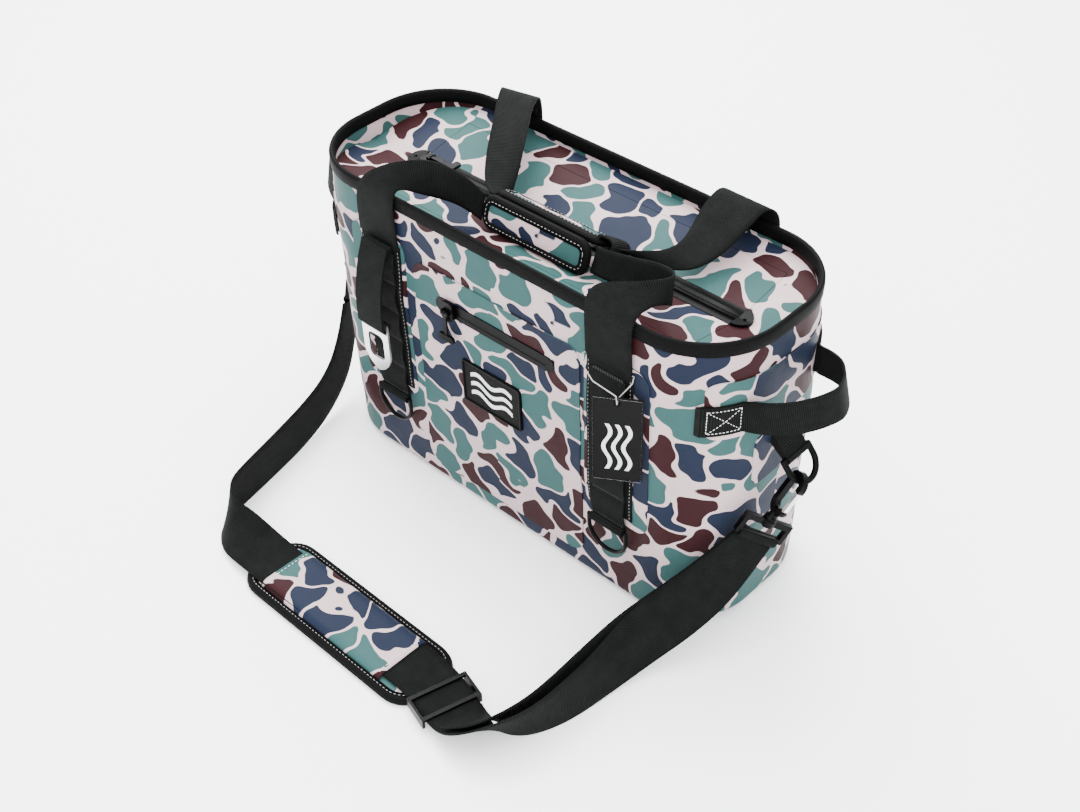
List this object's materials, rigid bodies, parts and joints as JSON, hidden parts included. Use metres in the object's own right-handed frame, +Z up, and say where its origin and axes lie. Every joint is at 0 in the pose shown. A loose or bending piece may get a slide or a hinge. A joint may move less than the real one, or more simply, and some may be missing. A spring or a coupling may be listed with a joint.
{
  "type": "insulated tote cooler bag",
  "caption": "Long soft-sided cooler bag with two carry handles, zipped folding lid, zipped front pocket, end handles, clipped shoulder strap and lash rings.",
  "frame": {"origin": "centre of the flat base, on the surface it stands on", "axes": "+X along the bag's length to its right end seen from the front, -Y out of the front with the pocket, +Z up"},
  "size_m": [0.6098, 0.4252, 0.3598],
  "materials": {
    "camo_fabric": "coated fabric, soft satin, printed with rounded patches",
    "webbing": "woven, matte",
    "binding": "woven tape, matte",
    "zip_tape": "coated tape, satin",
    "foam": "closed-cell foam, matte",
    "liner": "welded liner, satin",
    "black_hardware": "satin black",
    "black_plastic": "satin black",
    "steel": "plain steel",
    "patch_rubber": "moulded, matte",
    "tag_card": "printed card",
    "string": "thin cord"
  },
  "bodies": {
    "bag": {"base_foam": "foam", "corner_panels": "camo_fabric", "daisy_webbing": "webbing", "inner_liner": "liner", "lid_border": "camo_fabric", "opener_tab": "webbing", "outer_shell": "camo_fabric", "pocket_panel": "camo_fabric", "pocket_zip_frame": "zip_tape", "pocket_zip_teeth": "zip_tape", "rim_binding": "binding", "rim_facing": "camo_fabric", "rubber_patch": "patch_rubber", "shoulder_pad": "camo_fabric", "side_handle_ends": "webbing", "side_patches": "camo_fabric", "side_ring_loops": "webbing", "side_ring_patches": "camo_fabric", "strap_return": "webbing", "strap_webbing": "webbing", "strip_backings": "webbing", "strip_ring_tabs": "webbing", "swivel_eye_left": "black_hardware", "swivel_eye_right": "black_hardware", "tag_string": "string", "tri_glide": "black_plastic", "wall_foam": "foam", "zip_docks": "zip_tape"},
    "front_flap": {"lid_front_cover": "camo_fabric", "lid_front_foam": "foam", "zip_tape_front": "zip_tape"},
    "rear_flap": {"lid_rear_cover": "camo_fabric", "lid_rear_foam": "foam", "zip_tape_rear": "zip_tape"},
    "main_slider": {"main_slider": "black_hardware"},
    "main_pull": {"main_pull": "black_hardware"},
    "pocket_slider": {"pocket_slider": "black_hardware"},
    "pocket_pull": {"pocket_pull": "black_hardware"},
    "front_handle": {"grip_front": "camo_fabric", "handle_webbing_front_left": "webbing", "handle_webbing_front_right": "webbing"},
    "rear_handle": {"grip_rear": "camo_fabric", "handle_webbing_rear_left": "webbing", "handle_webbing_rear_right": "webbing"},
    "side_handle_right": {"side_handle_right": "webbing"},
    "side_handle_left": {"side_handle_left": "webbing"},
    "side_ring_right": {"side_ring_right": "black_hardware"},
    "side_ring_left": {"side_ring_left": "black_hardware"},
    "snap_hook_right": {"snap_hook_right": "black_hardware"},
    "snap_hook_left": {"snap_hook_left": "black_hardware"},
    "hook_gate_right": {"hook_gate_right": "steel"},
    "hook_gate_left": {"hook_gate_left": "steel"},
    "strip_ring_front_right": {"strip_ring_front_right": "black_hardware"},
    "strip_ring_front_left": {"strip_ring_front_left": "black_hardware"},
    "strip_ring_back_right": {"strip_ring_back_right": "black_hardware"},
    "strip_ring_back_left": {"strip_ring_back_left": "black_hardware"},
    "bottle_opener": {"bottle_opener": "steel"},
    "hang_tag": {"hang_tag": "tag_card"}
  },
  "joints": [
    {"name": "main_zip", "type": "slide", "parent": "bag", "child": "main_slider", "axis": [1, 0, 0], "range_m": [0, 0.355]},
    {"name": "front_flap_fold", "type": "hinge", "parent": "bag", "child": "front_flap", "pos_m": [0, -0.066, 0.29562], "axis": [-1, 0, 0], "range_deg": [0, 62]},
    {"name": "rear_flap_fold", "type": "hinge", "parent": "bag", "child": "rear_flap", "pos_m": [0, 0.066, 0.29562], "axis": [1, 0, 0], "range_deg": [0, 62]},
    {"name": "main_pull_swing", "type": "hinge", "parent": "main_slider", "child": "main_pull", "pos_m": [-0.168, 0, 0.30228], "axis": [0, -1, 0], "range_deg": [0, 165]},
    {"name": "pocket_zip", "type": "slide", "parent": "bag", "child": "pocket_slider", "axis": [1, 0, 0], "range_m": [0, 0.108]},
    {"name": "pocket_pull_swing", "type": "hinge", "parent": "pocket_slider", "child": "pocket_pull", "pos_m": [-0.052, -0.10106, 0.23287], "axis": [-1, 0, 0], "range_deg": [0, 120]},
    {"name": "front_handle_swing", "type": "hinge", "parent": "bag", "child": "front_handle", "pos_m": [0, -0.09608, 0.274], "axis": [1, 0, 0], "range_deg": [0, 95]},
    {"name": "rear_handle_swing", "type": "hinge", "parent": "bag", "child": "rear_handle", "pos_m": [0, 0.09608, 0.274], "axis": [-1, 0, 0], "range_deg": [0, 100]},
    {"name": "side_handle_right_swing", "type": "hinge", "parent": "bag", "child": "side_handle_right", "pos_m": [0.24645, 0, 0.247], "axis": [0, 1, 0], "range_deg": [-22, 54]},
    {"name": "side_handle_left_swing", "type": "hinge", "parent": "bag", "child": "side_handle_left", "pos_m": [-0.24645, 0, 0.247], "axis": [0, -1, 0], "range_deg": [-22, 54]},
    {"name": "side_ring_right_swing", "type": "hinge", "parent": "bag", "child": "side_ring_right", "pos_m": [0.266, 0, 0.186], "axis": [0, 1, 0], "range_deg": [0, 8]},
    {"name": "side_ring_left_swing", "type": "hinge", "parent": "bag", "child": "side_ring_left", "pos_m": [-0.266, 0, 0.186], "axis": [0, -1, 0], "range_deg": [0, 8]},
    {"name": "hook_right_swivel", "type": "hinge", "parent": "bag", "child": "snap_hook_right", "pos_m": [0.27953, -0.012, 0.16988], "axis": [0.269, 0.4612, 0.8455], "range_deg": [-8, 8]},
    {"name": "hook_left_swivel", "type": "hinge", "parent": "bag", "child": "snap_hook_left", "pos_m": [-0.27953, -0.012, 0.16988], "axis": [0.269, -0.4612, -0.8455], "range_deg": [-8, 8]},
    {"name": "gate_right_press", "type": "hinge", "parent": "snap_hook_right", "child": "hook_gate_right", "pos_m": [0.27964, -0.02886, 0.14747], "axis": [-0.456, -0.7123, 0.5336], "range_deg": [0, 25], "stiffness_Nm_per_rad": 0.02, "springref_deg": -8.59},
    {"name": "gate_left_press", "type": "hinge", "parent": "snap_hook_left", "child": "hook_gate_left", "pos_m": [-0.27964, -0.02886, 0.14747], "axis": [-0.456, 0.7123, -0.5336], "range_deg": [0, 25], "stiffness_Nm_per_rad": 0.02, "springref_deg": -8.59},
    {"name": "ring_front_right_swing", "type": "hinge", "parent": "bag", "child": "strip_ring_front_right", "pos_m": [0.1395, -0.09684, 0.08991], "axis": [-1, 0, 0], "range_deg": [0, 110]},
    {"name": "ring_front_left_swing", "type": "hinge", "parent": "bag", "child": "strip_ring_front_left", "pos_m": [-0.1395, -0.09684, 0.08991], "axis": [-1, 0, 0], "range_deg": [0, 110]},
    {"name": "ring_back_right_swing", "type": "hinge", "parent": "bag", "child": "strip_ring_back_right", "pos_m": [0.1395, 0.09684, 0.08991], "axis": [1, 0, 0], "range_deg": [0, 110]},
    {"name": "ring_back_left_swing", "type": "hinge", "parent": "bag", "child": "strip_ring_back_left", "pos_m": [-0.1395, 0.09684, 0.08991], "axis": [1, 0, 0], "range_deg": [0, 110]},
    {"name": "opener_swing", "type": "hinge", "parent": "bag", "child": "bottle_opener", "pos_m": [-0.1395, -0.11246, 0.18572], "axis": [-1, 0, 0], "range_deg": [0, 80]},
    {"name": "tag_swing", "type": "hinge", "parent": "bag", "child": "hang_tag", "pos_m": [0.16, -0.1085, 0.25], "axis": [0.8572, 0.515, 0], "range_deg": [-50, 0]}
  ],
  "couplings": [
    {"joint": "front_flap_fold", "follows": "main_zip", "rad_per_m": 3.0451},
    {"joint": "rear_flap_fold", "follows": "main_zip", "rad_per_m": 3.0451}
  ]
}
